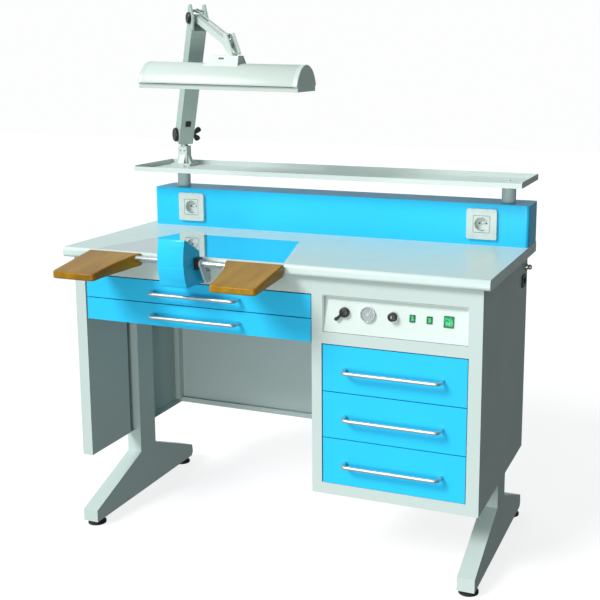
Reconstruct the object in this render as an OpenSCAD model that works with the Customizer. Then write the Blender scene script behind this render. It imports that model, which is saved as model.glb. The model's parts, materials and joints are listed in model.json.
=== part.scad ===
// Technician's laboratory workbench: laminate top on two steel legs, drawer
// cabinet, tray drawers, control panel, suction hood, armrests, shelf and lamp.
// Millimetres. X runs to the right, Y to the back, Z up; the floor is z = 0.

/* [Worktop] */
// Length of the worktop
top_w = 1200; // [1190:5:1240]
// Depth of the worktop
top_d = 560; // [556:2:572]
// Thickness of the worktop
top_t = 28; // [22:1:32]
// Height of the working surface above the datum line, which is 20 mm under the floor
top_h = 840; // [820:5:880]

/* [Work plate] */
// Width of the polished work plate along the front edge
plate_front_w = 560; // [480:10:600]
// Width of the polished work plate at its back edge
plate_back_w = 384; // [300:4:440]
// Depth of the work plate
plate_d = 300; // [240:10:340]
// Thickness of the work plate
plate_t = 1.5; // [1:0.5:3]

/* [Console and shelf] */
// Height of the blue socket console
console_h = 116; // [100:2:130]
// Depth of the socket console
console_d = 116; // [108:2:120]
// Width of a socket plate
socket_w = 85; // [80:1:90]
// Diameter of the shelf posts
post_dia = 40; // [30:1:44]
// Height of the shelf surface above the worktop
shelf_lift = 174; // [160:2:220]
// Depth of the shelf tray
shelf_d = 228; // [220:2:232]
// Height of the tray's front rim
rim_h = 11; // [8:1:16]

/* [Cabinet and drawers] */
// Height of the cabinet's underside above the floor
cab_z = 232; // [200:4:240]
// Width of the cabinet's front opening
bay_w = 383; // [375:1:384]
// Height of the three drawer bays together
bay_h = 374; // [350:2:376]
// Distance between the two ends of a bar handle
grip_w = 256; // [160:32:256]
// Diameter of the handle bars
grip_dia = 10; // [8:1:12]
// How far a handle stands off its drawer
grip_off = 32; // [28:1:36]
// Height of each tray drawer front
tray_h = 61; // [56:1:61]

/* [Legs] */
// Width of the leg tubes
leg_w = 46; // [40:1:46]
// Diameter of the levelling feet
foot_dia = 52; // [40:1:60]
// Diameter of the threaded foot stems
stem_dia = 12; // [10:1:14]

/* [Armrests and suction hood] */
// Diameter of the support rod
rod_dia = 16; // [12:1:16]
// Length of an armrest from back to front
rest_l = 172; // [140:2:190]
// Width of an armrest at its back
rest_back_w = 165; // [150:1:172]
// Width of an armrest at its front
rest_front_w = 128; // [100:2:136]
// Width of the suction hood
hood_w = 76; // [70:1:80]

/* [Lamp] */
// Direction that the lamp arm points in, from the front towards the right
lamp_swing = 46; // [30:1:60]
// Length of the lower lamp arm between its pivots
lower_len = 395; // [340:5:400]
// Forward lean of the lower lamp arm
lower_lean = 26; // [10:1:28]
// Length of the upper lamp arm between its pivots
upper_len = 298; // [280:2:320]
// Downward slope of the upper lamp arm
upper_drop = 15; // [12:1:20]
// Length of the lamp head
head_l = 462; // [420:2:500]
// Direction of the lamp head's long side, from the X axis
head_turn = 3; // [-10:1:25]
// Roll of the lamp head in its neck
head_roll = 1; // [0:0.1:2]

/* [Hidden] */
$fn = 48;

blue = "#45b8e8";
grey = "#ced9d6";
white = "#e6ece8";
steel = "#c9cdd0";
black = "#17191a";
wood = "#a8793c";
green = "#16a05a";

sheet = 1.5;          // steel sheet
fit = 0.05;           // radial running clearance
gap = 2.5;            // gap between drawer fronts
under = top_h - top_t;             // underside of the worktop
y_front = -top_d / 2;              // worktop's front edge
y_back = top_d / 2;                // worktop's back edge
origin_y = 69;        // places the origin under the middle of the whole bench
body_y0 = -258;       // front face of cabinet and panels
body_y1 = 264;        // back face of cabinet and panels
cab_x0 = 134;
cab_x1 = 580;
side_x = -580;        // outer face of the left side panel
side_t = 32;          // depth of the folded left side panel
knee_x0 = side_x + side_t;

// Heights start from a datum line, and the floor is this far above it
sink = 20;
module bench() translate([0, origin_y, -sink]) children();
module box(p, q) translate(p) cube(q - p);
// Outline in Y and Z, drawn out along X from x0 to x1
module along_x(x0, x1) translate([x0, 0, 0]) rotate([90, 0, 90]) linear_extrude(x1 - x0) children();
module x_rod(x, y, z, d, l) translate([x, y, z]) rotate([0, 90, 0]) cylinder(d = d, h = l);
module y_rod(x, y, z, d, l) translate([x, y, z]) rotate([-90, 0, 0]) cylinder(d = d, h = l);
module round_square(w, h, r) {
  square([w - 2 * r, h], center = true);
  square([w, h - 2 * r], center = true);
  for (sx = [-1, 1], sy = [-1, 1]) translate([sx * (w / 2 - r), sy * (h / 2 - r)]) circle(r);
}

// ---- Worktop and work plate ----
work_x = -217;                       // middle of the work place
plate_y0 = y_front + 12;
plate_y1 = plate_y0 + plate_d;
rebate = 0.5;                        // shallow seat of the console in the worktop
module plate_outline(grow) {
  f = plate_front_w / 2 + grow;
  b = plate_back_w / 2 + grow;
  polygon([[work_x - f, plate_y0 - grow], [work_x + f, plate_y0 - grow],
           [work_x + b, plate_y1 + grow], [work_x - b, plate_y1 + grow]]);
}

module worktop() color(white) bench() {
  nose = 9;
  difference() {
    union() {
      box([-top_w / 2, y_front + nose, under], [top_w / 2, y_back, top_h]);
      box([-top_w / 2, y_front, under + nose], [top_w / 2, y_front + nose, top_h - nose]);
      for (z = [under + nose, top_h - nose]) x_rod(-top_w / 2, y_front + nose, z, 2 * nose, top_w);
    }
    translate([0, 0, top_h - plate_t]) linear_extrude(plate_t + 1) plate_outline(0);
    translate([0, 0, top_h - rebate]) linear_extrude(1) console_plan(0);
  }
}

module work_plate() color(steel) bench()
  translate([0, 0, top_h - plate_t]) linear_extrude(plate_t) plate_outline(-0.3);

// ---- Socket console ----
console_x0 = -572;
console_x1 = top_w / 2;
console_y0 = y_back - console_d;
console_top = top_h + console_h;
socket_z = top_h + 60;
socket_x = [-441, 470];
post_x = [-501, 530];
post_y = 222;
insert_w = 46;        // square socket insert
wall = 2;             // console sheet

module console_plan(inset) {
  translate([(console_x0 + console_x1) / 2, (console_y0 + y_back) / 2])
    round_square(console_x1 - console_x0 - 2 * inset, console_d - 2 * inset, 10 - inset);
}

module console_housing() color(blue) bench() difference() {
  translate([0, 0, top_h - rebate]) linear_extrude(console_h + rebate) console_plan(0);
  translate([0, 0, top_h - 1]) linear_extrude(console_h - wall + 1) console_plan(wall);
  for (x = socket_x)
    translate([x, console_y0 - 1, socket_z]) rotate([-90, 0, 0])
      linear_extrude(wall + 2) round_square(insert_w + 4, insert_w + 4, 4);
  for (x = post_x) translate([x, post_y, console_top - wall - 1])
    cylinder(d = post_dia + 1, h = wall + 2);
}

// A square plate with a round recess, two contact holes and two earth springs
module wall_socket(x) translate([x, console_y0, socket_z]) rotate([90, 0, 0]) {
  plate_t = 9;
  recess_d = 39;
  recess_depth = 17.5;
  groove = 1.2;         // joint between the frame and its insert
  difference() {
    union() {
      linear_extrude(plate_t) round_square(socket_w, socket_w, 6);
      translate([0, 0, -18]) linear_extrude(20) round_square(insert_w, insert_w, 3);
    }
    translate([0, 0, plate_t - recess_depth]) cylinder(d = recess_d, h = recess_depth + 1);
    translate([0, 0, plate_t - 4]) linear_extrude(5) difference() {
      round_square(insert_w + 2 * groove, insert_w + 2 * groove, 3 + groove);
      round_square(insert_w, insert_w, 3);
    }
    for (s = [-1, 1]) translate([s * 9.5, 0, -15]) cylinder(d = 5, h = 20);
  }
}
module wall_sockets() color(white) bench() for (x = socket_x) wall_socket(x);

// ---- Shelf ----
shelf_x0 = -top_w / 2;
shelf_x1 = top_w / 2 - 8;
shelf_y0 = 92;
shelf_top = top_h + shelf_lift;      // the tray's inside surface
tray_t = 3;
module shelf_posts() color(white) bench() for (x = post_x) translate([x, post_y, top_h - rebate]) difference() {
  tall = shelf_top - tray_t - top_h + rebate;
  union() {
    cylinder(d = post_dia, h = tall);
    cylinder(d = post_dia + 24, h = 4);
  }
  translate([0, 0, -1]) cylinder(d = post_dia - 5, h = tall - 5);
}

module shelf_tray() color(grey) bench() {
  y1 = shelf_y0 + shelf_d;
  rim_t = 3;
  side_rim = rim_h + 3;
  difference() {
    box([shelf_x0, shelf_y0, shelf_top - tray_t], [shelf_x1, y1, shelf_top + side_rim]);
    box([shelf_x0 + rim_t, shelf_y0 + rim_t, shelf_top], [shelf_x1 - rim_t, y1 - rim_t, shelf_top + side_rim + 1]);
    box([shelf_x0 - 1, shelf_y0 - 1, shelf_top + rim_h], [shelf_x1 + 1, shelf_y0 + rim_t + 1, shelf_top + side_rim + 1]);
  }
  for (x = post_x) translate([x, post_y, shelf_top]) cylinder(d = 9, h = 2.5);
}

// ---- Side panel, modesty panel, apron ----
leg_y0 = -31;
leg_y1 = 53;
module left_side_panel() color(grey) bench() difference() {
  union() {
    difference() {
      box([side_x, body_y0, cab_z], [knee_x0, body_y1, under]);
      box([side_x + sheet, -60, cab_z + sheet], [knee_x0 + 1, body_y1 - sheet, under - sheet]);
      box([side_x + sheet, body_y0 + sheet, cab_z + sheet], [knee_x0 - sheet, -60 - sheet, under - sheet]);
    }
    box([knee_x0 - sheet, body_y1 - 26, cab_z], [knee_x0, body_y1, under]);
  }
  box([side_x + sheet + 0.1, leg_y0 - 0.5, cab_z - 1], [knee_x0 + 1, leg_y1 + 0.5, under + 1]);
}

module modesty_panel() color(grey) bench() {
  hem = 16;
  box([knee_x0, body_y1 - sheet, cab_z], [cab_x0, body_y1, under]);
  box([knee_x0, body_y1 - hem, cab_z], [cab_x0, body_y1, cab_z + sheet]);
  box([knee_x0, body_y1 - hem, cab_z], [cab_x0, body_y1 - hem + sheet, cab_z + hem]);
  box([knee_x0, body_y1 - hem, under - sheet], [cab_x0, body_y1, under]);
}

duct_w = 72;
duct_z0 = 767;
duct_z1 = 808;
apron_z = under - 48;
module front_apron() color(grey) bench() {
  difference() {
    union() {
      box([knee_x0, body_y0, apron_z], [cab_x0, body_y0 + sheet, under]);
      box([knee_x0, body_y0, under - sheet], [cab_x0, body_y0 + 24, under]);
    }
    box([hood_x - duct_w / 2 - 0.3, body_y0 - 1, duct_z0 - 0.3], [hood_x + duct_w / 2 + 0.3, body_y0 + 40, duct_z1 + 0.3]);
  }
  for (m = [-1, 1]) rod_ear(hood_x + m * (hood_w / 2 + 15.5));
}
// Ear that carries the support rod in front of the worktop
module rod_ear(x) difference() {
  along_x(x - 3, x + 3) {
    polygon([[body_y0, 774], [body_y0, 802], [-284, 806], [rod_y + 8, rod_z + 5], [rod_y - 5, rod_z + 8],
             [rod_y - 9, rod_z - 4], [-292, 788], [-280, 774]]);
    translate([rod_y, rod_z]) circle(11);
  }
  x_rod(x - 4, rod_y, rod_z, rod_dia + 0.1, 8);
}

// ---- Cabinet ----
bay_x0 = 355 - bay_w / 2;
bay_x1 = 355 + bay_w / 2;
bay_z0 = 262;
bay_z1 = bay_z0 + bay_h + 1;
panel_z0 = 668;
panel_z1 = 764;
liner_x0 = 160;
liner_x1 = 526;
leg_x = 555;          // middle of each leg, left and right of the bench
module cabinet_shell() color(grey) bench() difference() {
  union() {
    difference() {
      box([cab_x0, body_y0, cab_z], [cab_x1, body_y1, under]);
      box([cab_x0 + sheet, body_y0 + sheet, cab_z + sheet], [cab_x1 - sheet, body_y1 - sheet, under + 1]);
    }
    // sheets that carry the runners
    box([liner_x0, body_y0, cab_z], [liner_x0 + sheet, 176, bay_z1 + 4]);
    box([liner_x1 - sheet, body_y0, cab_z], [liner_x1, 176, bay_z1 + 4]);
    // shelf between the drawers and the control space, and the top rails
    box([cab_x0, body_y0, bay_z1 + 2], [cab_x1, 176, bay_z1 + 2 + sheet]);
    box([cab_x0, body_y0, under - sheet], [cab_x1, body_y0 + 26, under]);
    box([cab_x0, body_y1 - 26, under - sheet], [cab_x1, body_y1, under]);
    // folded back edges of the front
    box([bay_x0 - sheet, body_y0, bay_z0 - sheet], [bay_x1 + sheet, body_y0 + 22, bay_z0]);
    box([bay_x1, body_y0, bay_z0], [bay_x1 + sheet, body_y0 + 22, bay_z1]);
  }
  // room for the duct
  box([cab_x0 - 1, branch_y0 - 0.3, duct_z0 - 0.3], [cab_x0 + 3, branch_y1 + 0.3, duct_z1 + 0.3]);
  // drawer opening and control panel opening
  box([bay_x0, body_y0 - 1, bay_z0], [bay_x1, body_y0 + sheet + 0.1, bay_z1]);
  box([liner_x0 + sheet, body_y0 - 1, bay_z0], [bay_x1, body_y0 + 23, bay_z1]);
  box([165, body_y0 - 1, panel_z0], [545, body_y0 + sheet + 1, panel_z1]);
  // room for the right leg, the air coupling and the power inlet
  box([leg_x - leg_w / 2 - 0.5, leg_y0 - 0.5, cab_z - 1], [leg_x + leg_w / 2 + 0.5, leg_y1 + 0.5, cab_z + 4]);
  box([leg_x - leg_w / 2 - 0.5, leg_y0 - 0.5, bay_z1], [leg_x + leg_w / 2 + 0.5, leg_y1 + 0.5, bay_z1 + 6]);
  x_rod(cab_x1 - 10, port_y, coupling_z, 14.2, 20);
  box([cab_x1 - 10, inlet_y - 19, inlet_z - 12.3], [cab_x1 + 10, inlet_y + 19, inlet_z + 12.3]);
}

// ---- Legs and levelling feet ----
foot_y0 = -240;
foot_y1 = 250;
leg_z = 35;
module leg(x) color(grey) bench() difference() {
  along_x(x - leg_w / 2, x + leg_w / 2)
    polygon([[-271, leg_z], [276, leg_z], [284, leg_z + 12], [280, 72], [leg_y1, 164], [leg_y1, under],
             [leg_y0, under], [leg_y0, 161], [-271, 70]]);
  for (y = [foot_y0, foot_y1]) translate([x, y, leg_z - 1]) cylinder(d = stem_dia + 2 * fit, h = 32);
}
module left_leg() leg(-leg_x);
module right_leg() leg(leg_x);

// Rubber pad, steel cap, nut and threaded stem
module foot(x, y) color(black) bench() translate([x, y, sink]) {
  pad_t = 5;
  bell_t = 5;
  cylinder(d = foot_dia, h = pad_t);
  translate([0, 0, pad_t]) cylinder(d1 = foot_dia - 4, d2 = 34, h = bell_t, $fn = 48);
  translate([0, 0, pad_t + bell_t - 1]) cylinder(d = 22, h = 5, $fn = 6);
  cylinder(d = stem_dia, h = 42);
}
module foot_front_left() foot(-leg_x, foot_y0);
module foot_back_left() foot(-leg_x, foot_y1);
module foot_front_right() foot(leg_x, foot_y0);
module foot_back_right() foot(leg_x, foot_y1);

// ---- Drawers ----
front_t = 18;
runner_room = 12.5;
pitch = bay_h / 3;
roller_d = 10;
box_back = 160;
// Bar handle with bent ends, centred on x at height z
module grip(x, z) color(steel) bench() {
  r = 14;
  yb = body_y0 - grip_off;
  s = grip_w / 2;
  x_rod(x - s + r, yb, z, grip_dia, 2 * (s - r));
  for (m = [-1, 1]) {
    y_rod(x + m * s, yb + r, z, grip_dia, grip_off - r);
    translate([x + m * (s - r), yb + r, z]) mirror([m < 0 ? 1 : 0, 0, 0])
      rotate([0, 0, -90]) rotate_extrude(angle = 90) translate([r, 0]) circle(d = grip_dia);
  }
}
// Open steel box with the rail that runs on each side
module drawer_box(x0, x1, z0, h, y0, y1) {
  difference() {
    box([x0, y0, z0], [x1, y1, z0 + h]);
    box([x0 + sheet, y0 + sheet, z0 + sheet], [x1 - sheet, y1 - sheet, z0 + h + 1]);
  }
  for (side = [0, 1]) translate([side ? x1 : x0, 0, 0]) mirror([side ? 0 : 1, 0, 0]) {
    box([0, y0, z0 + 14.6], [8.5, y1, z0 + 16.1]);
    x_rod(0, y1 - 6, z0 + 8.3, roller_d, 8.5);
  }
}
// Rails and front rollers of one drawer, fixed to the sheets at x0 and x1
module fixed_rails(x0, x1, z0) {
  for (side = [0, 1]) translate([side ? x1 : x0, 0, 0]) mirror([side ? 1 : 0, 0, 0]) {
    box([0, body_y0 + 26, z0], [sheet, box_back, z0 + 24]);
    box([0, body_y0 + 26, z0], [10, box_back, z0 + sheet]);
    x_rod(sheet, body_y0 + 34, z0 + 8, roller_d, 8.5);
  }
}
box_x0 = liner_x0 + sheet + runner_room;
box_x1 = liner_x1 - sheet - runner_room;
function bay_bottom(i) = bay_z0 + 1 + (3 - i) * pitch;
module front_panel(i) color(blue) bench() difference() {
  z = bay_bottom(i);
  box([bay_x0 + 1.5, body_y0, z], [bay_x1 - 1.5, body_y0 + front_t, z + pitch - gap]);
  box([bay_x0 + 3, body_y0 + sheet, z + sheet], [bay_x1 - 3, body_y0 + front_t - sheet, z + pitch - gap - sheet]);
}
module cab_box(i) color(grey) bench()
  drawer_box(box_x0, box_x1, bay_bottom(i) + 10, 92, body_y0 + front_t, box_back);
module cab_grip(i) grip(355, bay_bottom(i) + (pitch - gap) / 2);
module drawer_1_front() front_panel(1);
module drawer_1_box() cab_box(1);
module drawer_1_handle() cab_grip(1);
module drawer_2_front() front_panel(2);
module drawer_2_box() cab_box(2);
module drawer_2_handle() cab_grip(2);
module drawer_3_front() front_panel(3);
module drawer_3_box() cab_box(3);
module drawer_3_handle() cab_grip(3);

// The two wide tray drawers over the knee space
tray_x0 = knee_x0 + 6;
tray_x1 = cab_x0 - 2;
hanger_x = -531.5;
tray_box_x0 = hanger_x + sheet + runner_room;
tray_box_x1 = cab_x0 - runner_room;
function tray_z(i) = apron_z - i * (tray_h + gap);
module tray_drawer(i) color(blue) bench() {
  z = tray_z(i);
  difference() {
    box([tray_x0, body_y0, z], [tray_x1, body_y0 + front_t, z + tray_h]);
    box([tray_x0 + sheet, body_y0 + sheet, z + sheet], [tray_x1 - sheet, body_y0 + front_t - sheet, z + tray_h - sheet]);
  }
  drawer_box(tray_box_x0, tray_box_x1, z + 7, 46, body_y0 + front_t, box_back);
}
module upper_tray_drawer() tray_drawer(1);
module lower_tray_drawer() tray_drawer(2);
module upper_tray_handle() grip(-200, tray_z(1) + tray_h / 2);
module lower_tray_handle() grip(-200, tray_z(2) + tray_h / 2);

module drawer_runners() color(steel) bench() {
  for (i = [1:3]) fixed_rails(liner_x0 + sheet, liner_x1 - sheet, bay_bottom(i) + 11.5);
  for (i = [1:2]) fixed_rails(hanger_x + sheet, cab_x0, tray_z(i) + 8.5);
  // hanger sheet inside the left leg for the tray drawers' left rails
  box([hanger_x, body_y0 + 26, tray_z(2)], [hanger_x + sheet, box_back, under]);
  box([hanger_x - 14, body_y0 + 26, under - sheet], [hanger_x + sheet, leg_y0 - 2, under]);
}

// ---- Control panel and what is on it ----
panel_lean = 8.5;
// Place things on the sloping panel: x along it, h up its face from the lower edge
module on_panel(x, h) translate([x, body_y0 + 2.5, panel_z0]) rotate([-panel_lean, 0, 0])
  translate([0, 0, h]) rotate([90, 0, 0]) children();
control_h = 54;
lever_x = 222;
gauge_x = 284;
knob_x = 351;
switch_x = [400, 444, 493];
small_switch = [15, 19];
main_switch = [26, 29];

module control_panel() color(white) bench() difference() {
  union() {
    on_panel(355, 48.5) translate([0, 0, -2]) linear_extrude(2) square([379, 96], center = true);
    // folded cheeks and top edge that close the recess
    for (x = [165.5, 543]) along_x(x, x + sheet)
      polygon([[body_y0 + 2, panel_z0 + 2], [body_y0 + 16.4, panel_z1 - 1.5], [body_y0 + 2, panel_z1 - 1.5]]);
    box([165.5, body_y0 + 2, panel_z1 - 2.5], [544.5, body_y0 + 16.4, panel_z1 - 1]);
  }
  on_panel(lever_x, control_h) translate([0, 0, -3]) cylinder(d = 8.1, h = 4);
  on_panel(gauge_x, control_h) translate([0, 0, -3]) cylinder(d = 35, h = 4);
  on_panel(knob_x, control_h) translate([0, 0, -3]) cylinder(d = 8.1, h = 4);
  for (i = [0:2]) on_panel(switch_x[i], control_h) translate([0, 0, -3])
    linear_extrude(4) square(switch_size(i) - [3, 3], center = true);
}
function switch_size(i) = i == 2 ? main_switch : small_switch;

module gas_lever() color(black) bench() on_panel(lever_x, control_h) {
  translate([0, 0, -14]) cylinder(d = 8, h = 16);
  translate([0, 0, 0.5]) cylinder(d = 26, h = 13);
  rotate([0, 0, 222]) translate([0, -4.5, 5]) cube([27, 9, 6]);
  rotate([0, 0, 222]) translate([27, 0, 5]) cylinder(d = 9, h = 6);
}

module pressure_gauge() color(steel) bench() on_panel(gauge_x, control_h) difference() {
  union() {
    translate([0, 0, -26]) cylinder(d = 34.6, h = 28);
    cylinder(d = 39, h = 8);
  }
  translate([0, 0, 4]) cylinder(d = 34, h = 6);
  translate([0, 0, 2]) cylinder(d = 1.6 + 2 * fit, h = 3);
}
module gauge_needle() color(white) bench() on_panel(gauge_x, control_h) {
  translate([0, 0, 2.5]) cylinder(d = 1.6, h = 3.2);
  translate([0, 0, 4.6]) cylinder(d = 5, h = 1);
  rotate([0, 0, 52]) translate([-5, -0.7, 4.7]) cube([19, 1.4, 0.7]);
}

module regulator_knob() color(black) bench() on_panel(knob_x, control_h) {
  translate([0, 0, -14]) cylinder(d = 8, h = 16);
  translate([0, 0, 0.5]) cylinder(d = 30, h = 3);
  translate([0, 0, 3]) cylinder(d = 24, h = 17);
}

// Valve body, regulator body, gauge pipe and the supply pipe from the side
valve_y = -204;
valve_z = panel_z0 + control_h + 6;
pipe_x = 516;         // clear of the leg that stands inside the cabinet
module valve_block() color(steel) bench() {
  for (x = [lever_x, knob_x]) on_panel(x, control_h) difference() {
    translate([0, 0, -44]) cylinder(d = 26, h = 41);
    translate([0, 0, -15]) cylinder(d = 8 + 2 * fit, h = 14);
  }
  x_rod(lever_x, valve_y, valve_z, 9, pipe_x - lever_x);
  on_panel(gauge_x, control_h) translate([0, 0, -46]) cylinder(d = 8, h = 19.5);
  for (p = [[valve_y, valve_z], [port_y, valve_z], [port_y, coupling_z]])
    translate([pipe_x, p[0], p[1]]) cube(14, center = true);
  y_rod(pipe_x, valve_y, valve_z, 9, port_y - valve_y);
  translate([pipe_x, port_y, valve_z]) cylinder(d = 9, h = coupling_z - valve_z);
  x_rod(pipe_x, port_y, coupling_z, 9, 48);
}

module rocker_frames() color(black) bench() for (i = [0:2]) on_panel(switch_x[i], control_h) {
  s = switch_size(i);
  difference() {
    union() {
      linear_extrude(1.8) round_square(s[0], s[1], 1.5);
      translate([0, 0, -16]) linear_extrude(16.5) square(s - [3.4, 3.4], center = true);
    }
    translate([0, 0, -12]) linear_extrude(16) square(s - [6, 6], center = true);
  }
}
rock = 7;             // lean of a rocker either side of level
module rocker(i) color(green) bench() on_panel(switch_x[i], control_h) {
  s = switch_size(i) - [7, 7];
  r = s[1] / 2;
  translate([s[0] / 2, 0, 0]) rotate([0, -90, 0]) linear_extrude(s[0]) rotate([0, 0, -rock])
    intersection() {
      circle(r);
      polygon([[-3, -r], [-3, r], [2.4, r], [0.9, 0], [2.4, -r]]);
    }
}
module rocker_suction() rocker(0);
module rocker_light() rocker(1);
module rocker_main() rocker(2);

// ---- Air coupling and power inlet on the right side ----
port_y = 240;
coupling_z = 772;
inlet_y = 212;
inlet_z = 738;
module air_coupling() color(steel) bench() difference() {
  union() {
    x_rod(564.5, port_y, coupling_z, 14, 17.5);
    x_rod(cab_x1, port_y, coupling_z, 20, 5);
    x_rod(cab_x1, port_y, coupling_z, 12, 17);
    x_rod(cab_x1 + 9, port_y, coupling_z, 15, 5);
  }
  x_rod(566, port_y, coupling_z, 7, 40);
}
module power_inlet() color(black) bench() {
  difference() {
    union() {
      translate([cab_x1, inlet_y, inlet_z]) rotate([90, 0, 90]) linear_extrude(4) round_square(50, 35, 12);
      translate([cab_x1 - 24, inlet_y, inlet_z]) rotate([90, 0, 90]) linear_extrude(25) square([36, 24], center = true);
    }
    translate([cab_x1 - 16, inlet_y, inlet_z]) rotate([90, 0, 90]) linear_extrude(30) square([25, 17], center = true);
  }
  for (y = [-7, 0, 7]) box([cab_x1 - 17, inlet_y + y - 1, inlet_z - 4.5], [cab_x1 - 2, inlet_y + y + 1, inlet_z + 0.5]);
}

// ---- Support rod, suction hood and armrests ----
rod_y = -303;
rod_z = 829;
rod_x0 = work_x - 277;
rod_x1 = work_x + 277;
module support_rod() color(steel) bench() x_rod(rod_x0, rod_y, rod_z, rod_dia, rod_x1 - rod_x0);

hood_x = work_x + 8;     // middle of the hood
hood_y0 = -368;
hood_top = 898;
hood_z0 = 772;
hood_r = 168;         // radius of the curved front band
module hood_outline(inset) intersection() {
  translate([hood_y0 + hood_r, 842]) circle(hood_r - inset, $fn = 96);
  polygon([[-400, hood_z0 + inset], [body_y0 + (inset ? 1 : 0), hood_z0 + inset],
           [body_y0 + (inset ? 1 : 0), 808 - inset], [-282 - inset, 808 - inset],
           [-283 - inset, 858 + (inset ? 1 : 0)], [-355, hood_top + (inset ? 0.5 : 0)], [-400, hood_top]]);
}
module suction_hood() color(blue) bench() difference() {
  along_x(hood_x - hood_w / 2, hood_x + hood_w / 2) hood_outline(0);
  along_x(hood_x - hood_w / 2 + 2, hood_x + hood_w / 2 - 2) hood_outline(2);
  x_rod(hood_x - 60, rod_y, rod_z, rod_dia + 1, 120);
  // seam between the fixed lower part and the upper part
  for (m = [-1, 1]) box([hood_x + m * hood_w / 2 - 0.6, -380, rod_z - 0.5], [hood_x + m * hood_w / 2 + 0.6, -288, rod_z + 0.5]);
}
module hood_clamp() color(black) bench() for (m = [0, 1]) translate([hood_x, 0, 0]) mirror([m, 0, 0]) difference() {
  box([hood_w / 2, rod_y - 13, rod_z - 15], [hood_w / 2 + 12, rod_y + 13, rod_z + 15]);
  x_rod(hood_w / 2 - 1, rod_y, rod_z, rod_dia + 0.6, 20);
}

// Flat duct under the worktop from the hood to the suction unit
unit_x0 = 190;
unit_z0 = 650;
branch_y0 = 50;       // side branch of the duct
branch_y1 = 120;
module suction_duct() color(grey) bench() difference() {
  union() {
    box([hood_x - duct_w / 2, body_y0, duct_z0], [hood_x + duct_w / 2, branch_y1, duct_z1]);
    box([hood_x - duct_w / 2, branch_y0, duct_z0], [unit_x0, branch_y1, duct_z1]);
  }
  box([hood_x - duct_w / 2 + 2, body_y0 - 1, duct_z0 + 2], [hood_x + duct_w / 2 - 2, branch_y1 - 2, duct_z1 - 2]);
  box([hood_x - duct_w / 2 + 2, branch_y0 + 2, duct_z0 + 2], [unit_x0 + 1, branch_y1 - 2, duct_z1 - 2]);
}
module suction_unit() color("#5b6468") bench() {
  difference() {
    box([unit_x0, -60, unit_z0], [400, 160, duct_z1]);
    box([unit_x0 + 3, -57, unit_z0 + 3], [397, 157, duct_z1 - 3]);
    box([unit_x0 - 1, branch_y0 + 2, duct_z0 + 2], [unit_x0 + 4, branch_y1 - 2, duct_z1 - 2]);
  }
  translate([310, 50, unit_z0 + 2]) cylinder(d = 120, h = 90);
}

rest_y1 = -286;
rest_top = 841;
module armrest(side) color(wood) bench() translate([work_x, 0, 0]) mirror([side < 0 ? 1 : 0, 0, 0]) difference() {
  intersection() {
    along_x(100, 320)
      polygon([[rest_y1, 808], [rest_y1, rest_top], [rod_y - 14, rest_top - 3], [rest_y1 - rest_l, 813],
               [rest_y1 - rest_l, 794], [rest_y1 - 60, 801]]);
    translate([0, 0, 790]) linear_extrude(70) rest_plan();
  }
  x_rod(100, rod_y, rod_z, rod_dia + 2 * fit, rod_x1 - work_x + 1 - 100);
}
// Plan of the right armrest: straight outer side, hollowed inner side, blunt front corners
rest_x1 = 289;
module rest_plan() {
  r = 10;
  yf = rest_y1 - rest_l;
  out_f = rest_x1 + 2;
  in_f = out_f - rest_front_w;
  in_b = rest_x1 - rest_back_w;
  lead = in_f - in_b;               // how far the inner side leads outwards
  chord = norm([lead, rest_l]);
  hollow_r = 450;
  reach = sqrt(hollow_r * hollow_r - chord * chord / 4) / chord;
  difference() {
    polygon([[in_b, rest_y1], [rest_x1, rest_y1], [out_f, yf + r], [out_f - 0.3 * r, yf + 0.3 * r],
             [out_f - r, yf], [in_f + r, yf], [in_f + 0.3 * r, yf + 0.3 * r], [in_f, yf + r]]);
    translate([in_b + lead / 2 - rest_l * reach, rest_y1 - rest_l / 2 - lead * reach])
      circle(hollow_r, $fn = 256);
  }
}
module left_armrest() armrest(-1);
module right_armrest() armrest(1);

// ---- Lamp ----
base_x = -526;
base_y = 272;
pivot_h = 98;         // lower arm's pivot above the tray
arm_w = 46;
arm_d = 50;
arm_y0 = -28;         // front face of the channel, from its pivot
pin_d = 8;
// Frames that follow the lamp: base, lower arm, elbow, upper arm, neck and head
module at_base() bench() translate([base_x, base_y, shelf_top]) children();
module at_lamp() at_base() rotate([0, 0, lamp_swing]) children();
elbow_y = -lower_len * sin(lower_lean);
elbow_z = pivot_h + lower_len * cos(lower_lean);
neck_y = elbow_y - upper_len * cos(upper_drop);
neck_z = elbow_z - upper_len * sin(upper_drop);
module in_lower() at_lamp() translate([0, 0, pivot_h]) rotate([lower_lean, 0, 0]) children();
module in_upper() at_lamp() translate([0, elbow_y, elbow_z]) rotate([upper_drop, 0, 0]) children();
module at_neck() at_lamp() translate([0, neck_y, neck_z]) children();
module in_head() rotate([0, 0, head_turn - lamp_swing]) rotate([0, head_roll, 0]) children();
module at_swivel() at_neck() translate([0, -neck_reach, -neck_fall]) children();
module at_head() at_swivel() in_head() children();

// Plate and block on the shelf, with skirts round the block's foot
clamp_top = 62;
module lamp_clamp() color(white) at_base() difference() {
  union() {
    translate([-33, -28, 0]) cube([66, 56, 8]);
    translate([-15.5, -14.5, 7]) cube([31, 29, clamp_top - 7]);
    rotate([90, 0, 0]) translate([0, 0, -9]) linear_extrude(18) polygon([[-28, 8], [28, 8], [15.5, 38], [-15.5, 38]]);
    along_x(-9, 9) polygon([[-25, 8], [25, 8], [14.5, 34], [-14.5, 34]]);
  }
  translate([0, 0, 14]) cylinder(d = 14 + 2 * fit, h = 60);
}

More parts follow.
